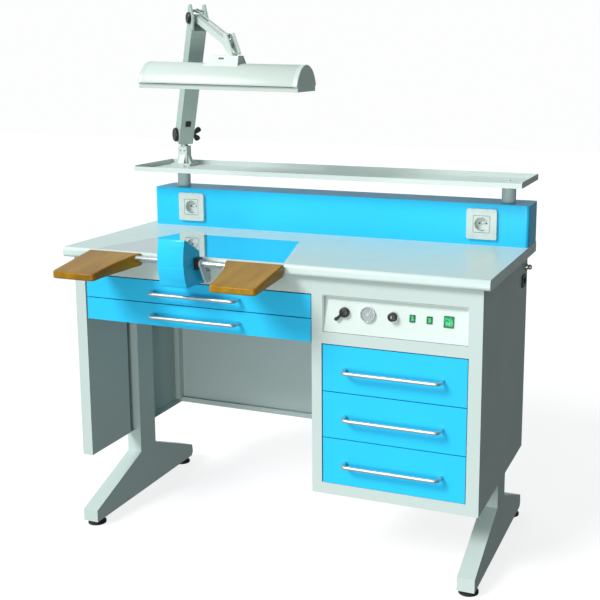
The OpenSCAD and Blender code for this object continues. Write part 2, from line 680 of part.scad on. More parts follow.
module lamp_yoke() color(steel) at_lamp() difference() {
  union() {
    translate([0, 0, 15]) cylinder(d = 14, h = 50);
    translate([0, 0, clamp_top + 0.3]) cylinder(d = 24, h = 4);
    translate([0, 0, clamp_top + 4]) cylinder(d = 18, h = 14);
    translate([-16, -12, 76]) cube([32, 24, 36]);
  }
  x_rod(-20, 0, pivot_h, pin_d + 2 * fit, 40);
}

// Folded channel, open at the back, with a pin at its foot and a head bracket on top
tie_up = 21;          // tie rod pivot above the upper arm's pivot
module lower_arm() color(grey) {
  in_lower() {
    difference() {
      translate([-arm_w / 2, arm_y0, -20]) cube([arm_w, arm_d, lower_len - 8]);
      translate([-arm_w / 2 + 2.5, arm_y0 + 2.5, -21]) cube([arm_w - 5, arm_d, lower_len - 6]);
      translate([-8.4, arm_y0 - 1, 43.6]) cube([16.8, 5, 18.8]);
    }
    x_rod(-arm_w / 2, 0, 0, pin_d, arm_w);
    translate([-arm_w / 2, arm_y0, lower_len - 31]) cube([arm_w, arm_d, 3]);
  }
  at_lamp() translate([0, elbow_y, elbow_z]) {
    for (m = [0, 1]) mirror([m, 0, 0]) along_x(arm_w / 2 - 4, arm_w / 2 + 1)
      polygon([[-27, -37], [27, -25], [27, 8], [9, tie_up + 18], [-9, tie_up + 18], [-33, 2]]);
    for (z = [0, tie_up]) x_rod(-arm_w / 2 - 1, 0, z, pin_d, arm_w + 2);
    translate([2 - arm_w / 2, 21, -22]) cube([arm_w - 4, 6, 30]);
  }
}

module wing_knob() color(black) in_lower() {
  x_rod(arm_w / 2 + 0.5, 0, 0, 18, 12);
  for (a = [20, 200]) rotate([a, 0, 0])
    translate([arm_w / 2 + 6, -3.5, 0]) cube([16, 7, 24]);
}

module arm_caps() color(black) {
  in_lower() x_rod(-arm_w / 2 - 11, 0, 0, 44, 11);
  at_lamp() translate([0, elbow_y, elbow_z]) x_rod(-arm_w / 2 - 10, 0, 0, 34, 9);
}

module lamp_switch() color(black) in_lower() {
  translate([-8, arm_y0 - 3, 44]) cube([16, 7, 18]);
}

module upper_arm() color(grey) in_upper() difference() {
  union() {
    translate([-8, -upper_len + 5, -10]) cube([16, upper_len - 10, 18]);
    x_rod(-15, 0, 0, 22, 30);
    x_rod(-8.5, -upper_len, 0, 22, 17);
  }
  for (y = [0, -upper_len]) x_rod(-20, y, 0, pin_d + 2 * fit, 40);
}

module tie_rod() color(steel) at_lamp() translate([0, elbow_y, elbow_z + tie_up]) rotate([upper_drop, 0, 0]) difference() {
  union() {
    y_rod(0, -upper_len, 0, 6, upper_len);
    for (y = [0, -upper_len]) x_rod(-3.5, y, 0, 14, 7);
  }
  for (y = [0, -upper_len]) x_rod(-10, y, 0, pin_d + 2 * fit, 20);
}

// Bracket that hangs forward from the upper arm, with the pin that the head swivels on
neck_half = 13;        // half the width of the bracket
neck_reach = 47;
neck_fall = 10;
swivel_d = 14;
module lamp_neck() color(grey) at_neck() {
  foot = -neck_fall - 19;
  for (m = [0, 1]) mirror([m, 0, 0]) along_x(neck_half - 4, neck_half)
    polygon([[11, -9], [11, tie_up], [6, tie_up + 8], [-9, tie_up + 8], [-neck_reach - 9, -neck_fall - 8],
             [-neck_reach - 12, foot], [-neck_reach + 12, foot]]);
  for (z = [0, tie_up]) x_rod(-neck_half, 0, z, pin_d, 2 * neck_half);
  translate([-neck_half, -neck_reach - 12, foot]) cube([2 * neck_half, 24, 6]);
  translate([0, -neck_reach, -neck_fall]) in_head() translate([0, 0, -40]) cylinder(d = swivel_d, h = 24);
}

// Half-round aluminium body with a narrower mouth, end caps and the mount housing
head_x = -24;         // the body's middle, measured from the neck
head_drop = 42;
head_r = 75;          // radius of the round back
head_h = 70;          // height of the whole body
body_h = 56;          // height of the round part
head_half = 66;       // half the depth of the mouth
module head_outline(inset) {
  intersection() {
    translate([0, -head_r]) circle(head_r - inset);
    translate([-90, -body_h]) square([180, 80]);
  }
  polygon([[-head_half + inset, -head_h], [head_half - inset, -head_h],
           [head_half - inset, 2 - body_h], [-head_half + inset, 2 - body_h]]);
}
module lamp_shade() color(white) at_head() difference() {
  union() {
    translate([head_x, 0, -head_drop]) along_x(-head_l / 2, head_l / 2) head_outline(0);
    // mount housing that narrows towards its top
    hull() {
      translate([-80, -33, -head_drop - 9]) cube([102, 66, 1]);
      translate([-58, -17, -22.5]) cube([76, 34, 1]);
    }
  }
  translate([head_x, 0, -head_drop]) along_x(-head_l / 2 + 3, head_l / 2 - 3) head_outline(3);
  translate([head_x, 0, -head_drop - 1.5]) along_x(-head_l / 2 + 3, head_l / 2 - 3) head_outline(3);
  translate([0, 0, -head_drop - 8]) cylinder(d = swivel_d + 2 * fit, h = 30);
}
module lamp_diffuser() color("#f4f6ee") at_head() translate([head_x, 0, -head_drop]) {
  along_x(-head_l / 2 + 3.5, head_l / 2 - 3.5)
    translate([-head_half + 3.5, 3 - head_h]) square([2 * head_half - 7, 3]);
  for (y = [-30, 30]) x_rod(-head_l / 2 + 3.5, y, -46, 16, head_l - 7);
}

worktop();
work_plate();
console_housing();
wall_sockets();
shelf_posts();
shelf_tray();
left_side_panel();
modesty_panel();
front_apron();
cabinet_shell();
left_leg();
right_leg();
foot_front_left();
foot_back_left();
foot_front_right();
foot_back_right();
upper_tray_drawer();
upper_tray_handle();
lower_tray_drawer();
lower_tray_handle();
drawer_1_front();
drawer_1_box();
drawer_1_handle();
drawer_2_front();
drawer_2_box();
drawer_2_handle();
drawer_3_front();
drawer_3_box();
drawer_3_handle();
drawer_runners();
control_panel();
gas_lever();
pressure_gauge();
gauge_needle();
regulator_knob();
valve_block();
rocker_frames();
rocker_suction();
rocker_light();
rocker_main();
air_coupling();
power_inlet();
support_rod();
suction_hood();
hood_clamp();
suction_duct();
suction_unit();
left_armrest();
right_armrest();
lamp_clamp();
lamp_yoke();
lower_arm();
wing_knob();
arm_caps();
lamp_switch();
upper_arm();
tie_rod();
lamp_neck();
lamp_shade();
lamp_diffuser();
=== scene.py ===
"""Technician's laboratory workbench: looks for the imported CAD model.

Metres, in the model's own frame: X to the right, Y to the back, Z up, floor at z = 0.
"""
import json
import math

import bmesh
import bpy
from mathutils import Matrix, Vector


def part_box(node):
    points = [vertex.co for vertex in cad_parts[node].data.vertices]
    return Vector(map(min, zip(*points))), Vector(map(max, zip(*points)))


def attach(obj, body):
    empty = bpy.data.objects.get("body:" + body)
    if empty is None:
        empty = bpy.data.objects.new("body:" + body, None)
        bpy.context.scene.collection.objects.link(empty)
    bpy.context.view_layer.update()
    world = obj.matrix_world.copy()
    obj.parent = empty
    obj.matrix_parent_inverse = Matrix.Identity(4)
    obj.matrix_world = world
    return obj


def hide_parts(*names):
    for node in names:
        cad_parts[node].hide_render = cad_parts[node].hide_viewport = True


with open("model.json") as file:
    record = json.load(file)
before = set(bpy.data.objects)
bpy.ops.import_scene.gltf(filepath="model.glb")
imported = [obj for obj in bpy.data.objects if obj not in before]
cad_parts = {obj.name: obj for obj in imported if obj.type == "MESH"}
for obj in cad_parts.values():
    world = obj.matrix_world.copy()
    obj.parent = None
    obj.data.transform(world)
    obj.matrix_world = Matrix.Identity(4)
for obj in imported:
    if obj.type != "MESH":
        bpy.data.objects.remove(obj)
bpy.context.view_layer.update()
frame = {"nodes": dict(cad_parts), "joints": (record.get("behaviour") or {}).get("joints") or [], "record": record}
NODES = frame["nodes"]


# ---------------------------------------------------------------- camera

def make_camera():
    """The eye stands to the right of the bench, a little above the shelf."""
    data = bpy.data.cameras.new("camera")
    data.sensor_width = 36.0
    data.lens = 62.43
    data.shift_x = -0.0690
    data.shift_y = -0.0913
    data.clip_end = 40.0
    cam = bpy.data.objects.new("camera", data)
    cam.location = (1.1413, -2.5595, 1.3428)
    cam.rotation_euler = (math.radians(79.58), 0.0, math.radians(21.32))
    bpy.context.scene.collection.objects.link(cam)
    bpy.context.scene.camera = cam


make_camera()


# ---------------------------------------------------------------- materials

def linear(r, g, b):
    """A linear colour from 0-255 display values."""
    def one(v):
        v /= 255.0
        return v / 12.92 if v <= 0.04045 else ((v + 0.055) / 1.055) ** 2.4
    return (one(r), one(g), one(b), 1.0)


class Nodes:
    """Short calls for building one material's node tree."""

    def __init__(self, name):
        self.material = bpy.data.materials.new(name)
        self.material.use_nodes = True
        self.tree = self.material.node_tree
        self.shader = self.tree.nodes["Principled BSDF"]
        self.place = self.add("ShaderNodeTexCoord").outputs["Object"]

    def add(self, kind, **values):
        node = self.tree.nodes.new(kind)
        for key, value in values.items():
            setattr(node, key, value)
        return node

    def link(self, out, into):
        self.tree.links.new(out, into)

    def stretched(self, scale, turn=(0.0, 0.0, 0.0)):
        node = self.add("ShaderNodeMapping")
        node.inputs["Scale"].default_value = scale
        node.inputs["Rotation"].default_value = turn
        self.link(self.place, node.inputs["Vector"])
        return node.outputs["Vector"]

    def noise(self, scale, detail=3.0, rough=0.5, vector=None):
        node = self.add("ShaderNodeTexNoise")
        node.inputs["Scale"].default_value = scale
        node.inputs["Detail"].default_value = detail
        node.inputs["Roughness"].default_value = rough
        self.link(vector or self.place, node.inputs["Vector"])
        return node.outputs["Fac"]

    def ramp(self, value, stops):
        node = self.add("ShaderNodeValToRGB")
        ramp = node.color_ramp
        while len(ramp.elements) < len(stops):
            ramp.elements.new(0.5)
        for element, (at, colour) in zip(ramp.elements, stops):
            element.position = at
            element.color = colour
        self.link(value, node.inputs["Fac"])
        return node.outputs["Color"]

    def spread(self, value, low, high, start=0.3, end=0.7):
        node = self.add("ShaderNodeMapRange")
        for key, v in (("From Min", start), ("From Max", end), ("To Min", low), ("To Max", high)):
            node.inputs[key].default_value = v
        self.link(value, node.inputs["Value"])
        return node.outputs["Result"]

    def mix(self, a, b, fac):
        node = self.add("ShaderNodeMix", data_type="RGBA")
        for socket, value in ((node.inputs[0], fac), (node.inputs[6], a), (node.inputs[7], b)):
            if isinstance(value, (tuple, float, int)):
                socket.default_value = value
            else:
                self.link(value, socket)
        return node.outputs[2]

    def times(self, a, b):
        node = self.add("ShaderNodeMath", operation="MULTIPLY")
        for socket, value in zip(node.inputs, (a, b)):
            if isinstance(value, float):
                socket.default_value = value
            else:
                self.link(value, socket)
        return node.outputs[0]

    def bump(self, height, distance, strength=1.0, below=None):
        node = self.add("ShaderNodeBump")
        node.inputs["Strength"].default_value = strength
        node.inputs["Distance"].default_value = distance
        self.link(height, node.inputs["Height"])
        if below is not None:
            self.link(below, node.inputs["Normal"])
        return node.outputs["Normal"]

    def colour(self, value):
        self.put("Base Color", value)

    def put(self, name, value):
        socket = self.shader.inputs[name]
        if isinstance(value, (tuple, float, int)):
            socket.default_value = value
        else:
            self.link(value, socket)

    def edges(self, radius, start=0.02, end=0.25):
        """1 along sharp edges, 0 on the flats."""
        bevel = self.add("ShaderNodeBevel", samples=4)
        bevel.inputs["Radius"].default_value = radius
        geometry = self.add("ShaderNodeNewGeometry")
        dot = self.add("ShaderNodeVectorMath", operation="DOT_PRODUCT")
        self.link(bevel.outputs["Normal"], dot.inputs[0])
        self.link(geometry.outputs["Normal"], dot.inputs[1])
        turned = self.add("ShaderNodeMath", operation="SUBTRACT")
        turned.inputs[0].default_value = 1.0
        self.link(dot.outputs["Value"], turned.inputs[1])
        return self.spread(turned.outputs[0], 0.0, 1.0, start, end)


def tint(colour, factor):
    """The colour made lighter or darker."""
    return tuple(min(1.0, c * factor) for c in colour[:3]) + (1.0,)


def powder_coat(name, colour, rough=0.38, peel=0.0001, gloss=0.0, shine=0.5):
    """Baked paint: faint cloudiness, orange peel and handling marks, with a painted highlight that makes the
    colour lighter along the edges.
    """
    n = Nodes(name)
    cloud = n.noise(2.3, 3.0)
    flat = n.ramp(cloud, [(0.3, tint(colour, 0.97)), (0.7, tint(colour, 1.02))])
    # painted highlight: the paint's colour is made lighter along the edges
    n.colour(n.mix(flat, tint(colour, 1.25), n.times(n.edges(0.0012), 0.35)))
    smears = n.noise(9.0, 4.0, 0.6)
    n.put("Roughness", n.spread(smears, rough - 0.04, rough + 0.05))
    n.put("Coat Weight", gloss)
    n.put("Specular IOR Level", shine)
    n.put("Coat Roughness", 0.07)
    fine = n.noise(1400.0, 2.0)
    soft = n.noise(220.0, 2.0)
    n.put("Normal", n.bump(fine, peel * 0.4, 0.3, n.bump(soft, peel, 0.35)))
    return n.material


def laminate(name, colour):
    """Melamine laminate: finely pebbled, with a very faint mottle."""
    n = Nodes(name)
    mottle = n.noise(60.0, 4.0, 0.6)
    broad = n.noise(1.7, 2.0)
    speckled = n.ramp(mottle, [(0.35, tint(colour, 0.985)), (0.65, tint(colour, 1.01))])
    n.colour(n.mix(speckled, tint(colour, 0.96), n.spread(broad, 0.0, 0.4)))
    n.put("Roughness", n.spread(n.noise(14.0, 3.0), 0.28, 0.38))
    n.put("Normal", n.bump(n.noise(900.0, 2.0), 0.00006, 0.3))
    return n.material


def mirror_steel(name):
    """Polished stainless sheet: a mirror with the finest scratches."""
    n = Nodes(name)
    hair = n.noise(30.0, 6.0, 0.7, n.stretched((1.0, 40.0, 1.0), (0.0, 0.0, 0.4)))
    n.colour(n.ramp(hair, [(0.3, (0.70, 0.75, 0.78, 1.0)), (0.7, (0.76, 0.80, 0.82, 1.0))]))
    n.put("Metallic", 1.0)
    n.put("Roughness", n.spread(hair, 0.02, 0.05, 0.45, 0.8))
    n.put("Normal", n.bump(n.noise(5.0, 1.0), 0.0001, 0.05))
    return n.material


def bright_metal(name, colour=(0.80, 0.81, 0.82, 1.0), rough=0.14, grain=(1.0, 1.0, 1.0), depth=0.2):
    """Plated or brushed metal; grain stretches the brushing across an axis."""
    n = Nodes(name)
    n.put("Metallic", 1.0)
    lines = n.noise(500.0, 3.0, 0.6, n.stretched(grain))
    n.colour(n.ramp(n.noise(25.0, 3.0), [(0.3, tint(colour, 0.92)), (0.7, tint(colour, 1.04))]))
    n.put("Roughness", n.spread(lines, rough - 0.04, rough + 0.08))
    n.put("Normal", n.bump(lines, 0.00004, depth))
    return n.material


def moulded(name, colour, rough=0.35, texture=0.00008):
    """Moulded plastic: spark-eroded texture, with a painted highlight that makes the colour lighter along the
    edges.
    """
    n = Nodes(name)
    flat = n.ramp(n.noise(40.0, 3.0), [(0.3, tint(colour, 0.95)), (0.7, tint(colour, 1.04))])
    # painted highlight: the plastic's colour is made lighter along the edges
    n.colour(n.mix(flat, tint(colour, 1.4), n.times(n.edges(0.0008), 0.25)))
    n.put("Roughness", n.spread(n.noise(70.0, 3.0), rough - 0.05, rough + 0.08))
    n.put("Normal", n.bump(n.noise(1800.0, 2.0), texture, 0.4))
    return n.material


def varnished_wood(name):
    """Brown varnished beech: grain along Y, fine pores, darker rounded edges, gloss on top."""
    n = Nodes(name)
    rings = n.noise(1.0, 5.0, 0.55, n.stretched((26.0, 2.2, 26.0)))
    fibres = n.noise(9.0, 6.0, 0.7, n.stretched((70.0, 3.0, 70.0)))
    dark, middle, light = linear(140, 96, 12), linear(162, 118, 16), linear(184, 140, 28)
    base = n.ramp(rings, [(0.25, dark), (0.5, middle), (0.75, light)])
    streak = n.ramp(fibres, [(0.35, linear(150, 104, 50)), (0.6, (1.0, 1.0, 1.0, 1.0))])
    mixed = n.add("ShaderNodeMix", data_type="RGBA", blend_type="MULTIPLY")
    mixed.inputs[0].default_value = 0.3
    n.link(base, mixed.inputs[6])
    n.link(streak, mixed.inputs[7])
    stained = n.edges(0.009, 0.01, 0.12)
    n.colour(n.mix(mixed.outputs[2], linear(120, 70, 28), n.times(stained, 0.5)))
    n.put("Roughness", n.spread(fibres, 0.26, 0.38))
    n.put("Coat Weight", 0.1)
    n.put("Coat Roughness", 0.14)
    n.put("Specular IOR Level", 0.2)
    n.put("Normal", n.bump(fibres, 0.00008, 0.4))
    return n.material


def rubber(name):
    """Dull black rubber of the feet."""
    n = Nodes(name)
    n.colour(n.ramp(n.noise(30.0, 4.0), [(0.3, linear(24, 25, 26)), (0.7, linear(42, 43, 44))]))
    n.put("Roughness", n.spread(n.noise(50.0, 3.0), 0.6, 0.8))
    n.put("Normal", n.bump(n.noise(700.0, 3.0), 0.0002, 0.5))
    return n.material


def lit_green(name):
    """Translucent green lens with a lamp behind it."""
    n = Nodes(name)
    glow = n.ramp(n.noise(160.0, 2.0), [(0.3, linear(6, 150, 78)), (0.7, linear(60, 205, 130))])
    n.colour(glow)
    n.put("Roughness", 0.18)
    n.put("Emission Strength", 0.18)
    n.link(glow, n.shader.inputs["Emission Color"])
    n.put("Coat Weight", 0.6)
    n.put("Normal", n.bump(n.noise(600.0, 1.0), 0.00005, 0.3))
    return n.material


def opal(name):
    """Opal plastic of the tubes and the diffuser."""
    n = Nodes(name)
    n.colour(n.ramp(n.noise(20.0, 2.0), [(0.3, linear(236, 240, 232)), (0.7, linear(250, 252, 246))]))
    n.put("Roughness", 0.35)
    n.put("Subsurface Weight", 0.2)
    n.put("Subsurface Radius", (0.01, 0.01, 0.01))
    n.put("Normal", n.bump(n.noise(900.0, 1.0), 0.0001, 0.3))
    return n.material


def watch_glass(name):
    """Clear acrylic over the gauge's dial."""
    n = Nodes(name)
    n.colour((0.96, 0.98, 0.98, 1.0))
    n.put("Alpha", 0.14)
    n.put("Roughness", n.spread(n.noise(90.0, 2.0), 0.02, 0.05))
    n.put("Normal", n.bump(n.noise(60.0, 1.0), 0.00002, 0.2))
    return n.material


BLUE = linear(44, 196, 244)
MATERIALS = {
    "worktop": laminate("laminate", linear(208, 224, 219)),
    "work_plate": mirror_steel("mirror_steel"),
    "blue_panel": powder_coat("blue_paint", BLUE, 0.34, 0.00002, 0.12, 0.15),
    "grey_panel": powder_coat("grey_paint", linear(194, 208, 203), 0.42),
    "white_plastic": moulded("white_plastic", linear(196, 206, 201), 0.28, 0.00003),
    "shelf": powder_coat("pale_paint", linear(208, 220, 215), 0.40),
    "handle_steel": bright_metal("handle_metal", (0.64, 0.67, 0.69, 1.0), 0.44, (0.2, 1.0, 1.0)),
    "bare_steel": bright_metal("bare_steel", (0.72, 0.73, 0.74, 1.0), 0.22, (0.2, 1.0, 1.0)),
    "black_plastic": moulded("black_plastic", linear(22, 24, 25), 0.34),
    "foot_rubber": rubber("foot_rubber"),
    "green_rocker": lit_green("green_lens"),
    "green_frame": moulded("green_frame", linear(16, 96, 62), 0.25),
    "brass": bright_metal("plated_brass", (0.58, 0.57, 0.52, 1.0), 0.25),
    "wood": varnished_wood("varnished_wood"),
    "duct": moulded("duct_plastic", linear(132, 146, 144), 0.5),
    "lamp_white": powder_coat("lamp_white", linear(202, 214, 207), 0.32, 0.00006),
    "lamp_grey": powder_coat("lamp_grey", linear(174, 192, 185), 0.36, 0.00006),
    "diffuser": opal("opal_diffuser"),
}


# ---------------------------------------------------------------- CAD nodes

BEVELS = {  # node: (width in metres, segments)
    "worktop": (0.0012, 2), "console_housing": (0.006, 4), "shelf_tray": (0.002, 2),
    "suction_hood": (0.0012, 2), "lamp_shade": (0.0015, 2), "control_panel": (0.0006, 2),
}


def finish_cad():
    """Gives each CAD node its slot's material, closed seams and softened edges."""
    slots = {row["node"]: row["material_slot"] for row in frame["record"]["subparts"]}
    for name, node in NODES.items():
        material = MATERIALS[slots[name]]
        if not node.material_slots:
            node.data.materials.append(material)
        for place in node.material_slots:
            place.material = material
        weld = node.modifiers.new("weld", "WELD")
        weld.merge_threshold = 0.00002
        width, segments = BEVELS.get(name, (0.0008, 2))
        bevel = node.modifiers.new("bevel", "BEVEL")
        bevel.width = width
        bevel.segments = segments
        bevel.limit_method = "ANGLE"
        bevel.angle_limit = math.radians(35)
        bevel.use_clamp_overlap = True
        bevel.harden_normals = True


finish_cad()


# ---------------------------------------------------------------- mesh tools

MM = 0.001


class Piece:
    """Mesh parts in millimetres in a local frame, gathered into one named object."""

    def __init__(self, place):
        self.place = place
        self.mesh = bmesh.new()

    def faces(self, points, faces, at=None):
        local = self.place @ (at or Matrix.Identity(4))
        verts = [self.mesh.verts.new(local @ (Vector(p) * MM)) for p in points]
        for face in faces:
            self.mesh.faces.new([verts[i] for i in face])

    def prism(self, outline, low, high, at=None):
        """The outline in the local XY plane, from z = low to z = high."""
        n = len(outline)
        points = [(x, y, low) for x, y in outline] + [(x, y, high) for x, y in outline]
        sides = [(i, (i + 1) % n, (i + 1) % n + n, i + n) for i in range(n)]
        self.faces(points, sides + [tuple(range(n - 1, -1, -1)), tuple(range(n, 2 * n))], at)

    def lathe(self, profile, at=None, steps=48, ribs=0, depth=0.0, ring=False):
        """Turns (radius, z) points about the local Z axis, fluted by ribs; a ring's profile is closed."""
        rings = []
        for radius, z in profile:
            turn = []
            for i in range(steps):
                a = 2 * math.pi * i / steps
                r = radius - depth * (1 + math.cos(ribs * a)) / 2 if ribs else radius
                turn.append((r * math.cos(a), r * math.sin(a), z))
            rings.append(turn)
        points = [p for turn in rings for p in turn]
        faces = []
        count = len(rings)
        for k in range(count if ring else count - 1):
            a, b = k * steps, (k + 1) % count * steps
            for i in range(steps):
                j = (i + 1) % steps
                faces.append((a + i, a + j, b + j, b + i))
        if not ring:
            last = (count - 1) * steps
            faces.append(tuple(range(steps - 1, -1, -1)))
            faces.append(tuple(range(last, last + steps)))
        self.faces(points, faces, at)

    def build(self, name, body, slot, bevel=0.0, material=None, replaces=(), smooth=35):
        """Makes the object, rides it on its body and gives it its slot's material."""
        bmesh.ops.remove_doubles(self.mesh, verts=self.mesh.verts, dist=0.000005)
        bmesh.ops.recalc_face_normals(self.mesh, faces=self.mesh.faces)
        for face in self.mesh.faces:
            face.smooth = True
        for edge in self.mesh.edges:
            if len(edge.link_faces) == 2 and edge.calc_face_angle(0.0) > math.radians(smooth):
                edge.smooth = False
        data = bpy.data.meshes.new(name)
        self.mesh.to_mesh(data)
        self.mesh.free()
        piece = bpy.data.objects.new(name, data)
        bpy.context.scene.collection.objects.link(piece)
        data.materials.append(material or MATERIALS[slot])
        if bevel:
            rounding = piece.modifiers.new("bevel", "BEVEL")
            rounding.width = bevel * MM
            rounding.segments = 3
            rounding.limit_method = "ANGLE"
            rounding.angle_limit = math.radians(35)
            rounding.harden_normals = True
        if replaces:
            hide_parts(*replaces)
        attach(piece, body)
        return piece


def rounded_rectangle(w, h, r, steps=5):
    """Outline of a rectangle about the origin with round corners."""
    points = []
    for quarter, (sx, sy) in enumerate(((1, 1), (-1, 1), (-1, -1), (1, -1))):
        for k in range(steps + 1):
            a = math.pi / 2 * (quarter + k / steps)
            points.append((sx * (w / 2 - r) + r * math.cos(a), sy * (h / 2 - r) + r * math.sin(a)))
    return points


def basis(origin, x_axis, z_axis):
    """The matrix of a local frame at origin, with Z exactly along z_axis and X near x_axis."""
    z = Vector(z_axis).normalized()
    x = Vector(x_axis)
    x = (x - x.dot(z) * z).normalized()
    y = z.cross(x)
    turn = Matrix((x, y, z)).transposed().to_4x4()
    return Matrix.Translation(Vector(origin)) @ turn


def shift(x=0.0, y=0.0, z=0.0):
    return Matrix.Translation(Vector((x, y, z)) * MM)


def spin(degrees, axis="Z"):
    return Matrix.Rotation(math.radians(degrees), 4, axis)


JOINTS = {joint["name"]: joint for joint in frame["joints"]}


def joint_at(name):
    return Vector(JOINTS[name]["pos_m"])


def joint_axis(name):
    return Vector(JOINTS[name]["axis"])


# ---------------------------------------------------------------- control panel pieces

PANEL_OUT = joint_axis("gas_lever_turn")
if PANEL_OUT.y > 0:
    PANEL_OUT = -PANEL_OUT


def on_panel(point):
    """Local frame at a point of the sloping panel: Z out of it, X along it, Y up it."""
    return basis(point, (1, 0, 0), PANEL_OUT)


def make_gas_lever():
    """Fluted hub with a short arm that widens to its end."""
    piece = Piece(on_panel(joint_at("gas_lever_turn")))
    hub = [(0.1, 0.6), (13.0, 0.6), (13.0, 9.5), (11.6, 12.2), (8.0, 13.3), (0.1, 13.5)]
    piece.lathe(hub, ribs=16, depth=0.5, steps=96)
    arm = spin(222)  # the arm points down and to the left
    outline = [(6, -3.6), (20, -3.0), (25, -4.2), (29, -4.2), (31, -2.4), (31.4, 0), (31, 2.4), (29, 4.2),
               (25, 4.2), (20, 3.0), (6, 3.6)]
    piece.prism(outline, 4.6, 11.4, arm)
    piece.build("gas_lever_grip", "gas_lever", "black_plastic", 0.9, replaces=("gas_lever",))


def make_regulator():
    """Fluted cap on a bright ring, with a white mark."""
    place = on_panel(joint_at("regulator_knob_turn"))
    knob = Piece(place)
    grip = [(0.1, 3.0), (12.0, 3.0), (12.0, 4.0), (11.4, 5.0),
            (11.2, 17.0), (9.8, 19.2), (7.0, 19.9), (0.1, 19.6)]
    knob.lathe(grip, steps=120, ribs=24, depth=0.7)
    knob.build("regulator_cap", "regulator_knob", "black_plastic", replaces=("regulator_knob",))
    ring = Piece(place)
    ring.lathe([(0.1, 0.6), (13.8, 0.6), (13.8, 2.0), (13.0, 3.2), (0.1, 3.2)])
    ring.build("regulator_ring", "regulator_knob", "handle_steel")
    mark = Piece(place)
    mark.prism(rounded_rectangle(2.2, 7.0, 0.8), 19.4, 19.95)
    mark.build("regulator_mark", "regulator_knob", "white_plastic", 0.15)


def make_gauge():
    """Dial with its scale behind a domed glass."""
    place = on_panel(joint_at("gauge_needle_turn"))
    dial = Piece(place)
    dial.lathe([(0.9, 4.0), (16.9, 4.0), (16.9, 4.25), (0.9, 4.25)], steps=64)
    dial.build("gauge_dial", "bench", "duct")
    ticks = Piece(place)
    marks, dots = 31, 40
    for i in range(marks):
        long = i % 5 == 0
        outer, inner = 15.6, 12.4 if long else 13.8
        half = 0.5 if long else 0.25
        turn = spin(-135 + 270 * i / (marks - 1))
        tip = half * 0.7
        ticks.prism([(-half, inner), (half, inner), (tip, outer), (-tip, outer)], 4.2, 4.4, turn)
    for i in range(dots):
        turn = spin(-130 + 260 * i / (dots - 1))
        ticks.prism([(-0.45, 9.0), (0.45, 9.0), (0.5, 9.9), (-0.5, 9.9)], 4.2, 4.35, turn)
    ticks.build("gauge_scale", "bench", "black_plastic")
    seal = Piece(place)
    seal.lathe([(15.9, 4.1), (17.0, 4.1), (17.0, 4.9), (15.9, 4.5)], steps=64, ring=True)
    seal.build("gauge_seal", "bench", "black_plastic")
    glass = Piece(place)
    glass.lathe([(0.1, 6.4), (16.8, 6.4), (16.8, 6.9), (12.0, 7.5), (6.0, 7.8), (0.1, 7.9)], steps=64)
    glass.build("gauge_glass", "bench", "white_plastic", material=watch_glass("watch_glass"))


def make_rocker_marks():
    """A bar on the upper half and a ring on the lower half of each rocker."""
    for name in ("rocker_suction", "rocker_light", "rocker_main"):
        low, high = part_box(name)
        tall = (high[2] - low[2]) / MM
        front = Vector(((low[0] + high[0]) / 2, low[1], (low[2] + high[2]) / 2))
        piece = Piece(basis(front, (1, 0, 0), (0, -1, 0)))
        piece.prism(rounded_rectangle(0.9, tall * 0.22, 0.4), -3.0, -0.6, shift(y=tall * 0.24))
        piece.lathe([(tall * 0.08, -3.0), (tall * 0.11, -3.0), (tall * 0.11, -0.5), (tall * 0.08, -0.5)],
                    shift(y=-tall * 0.24), 24, ring=True)
        piece.build(name + "_mark", name, "white_plastic")


make_gas_lever()
make_regulator()
make_gauge()
make_rocker_marks()


# ---------------------------------------------------------------- sockets

def make_sockets():
    """Rim and earth springs of each socket, with black discs in the contact holes and a black strip in the groove
    round the insert; the discs and the strip are painted shade.
    """
    for mount in frame["record"]["mounts"]:
        if not mount["name"].startswith("socket_"):
            continue
        deep = Vector(mount["pos_m"])
        middle = Vector((deep.x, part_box("wall_sockets")[0][1], deep.z))
        place = basis(middle, (1, 0, 0), (0, -1, 0))
        ring = Piece(place)
        inner, outer = 19.5, 20.9
        lip = [(inner, -2.0), (outer, -2.0), (outer, -0.1), (inner + 0.6, -0.1), (inner, -0.8)]
        ring.lathe(lip, steps=64, ring=True)
        ring.build(mount["name"] + "_rim", "bench", "white_plastic")
        metal = Piece(place)
        for side in (1, -1):
            clip = [(side * 19.2, -1.6), (side * 17.9, -3.0), (side * 16.4, -8.0), (side * 17.6, -15.5),
                    (side * 18.4, -15.5), (side * 17.3, -8.0), (side * 18.6, -3.6), (side * 19.3, -2.6)]
            metal.prism(clip, -3.0, 3.0, spin(90, "Y") @ spin(90))
        metal.lathe([(0.1, -17.4), (3.4, -17.4), (3.4, -16.0), (2.6, -15.4), (0.1, -15.2)])
        metal.build(mount["name"] + "_clips", "bench", "bare_steel", 0.15)
        # black discs at the bottom of the contact holes: painted shade
        hole_shade_discs = Piece(place)
        contact_x = 9.5
        for x in (-contact_x, contact_x):
            hole_shade_discs.lathe([(0.1, -17.4), (2.6, -17.4), (2.6, -16.9), (0.1, -16.9)], shift(x=x), 20)
        hole_shade_discs.build(mount["name"] + "_hole_painted_shade", "bench", "black_plastic")
        groove_shade_strip = Piece(place)
        corner, near, far = 23.0, 23.05, 24.1  # the groove between the insert and the plate, filled with a black strip as painted shade
        for turn in (0, 90, 180, 270):
            bar = [(-far, near), (corner, near), (corner, far), (-far, far)]
            groove_shade_strip.prism(bar, -3.9, -0.4, spin(turn))
        groove_shade_strip.build(mount["name"] + "_groove_painted_shade", "bench", "black_plastic")


make_sockets()


# ---------------------------------------------------------------- armrests

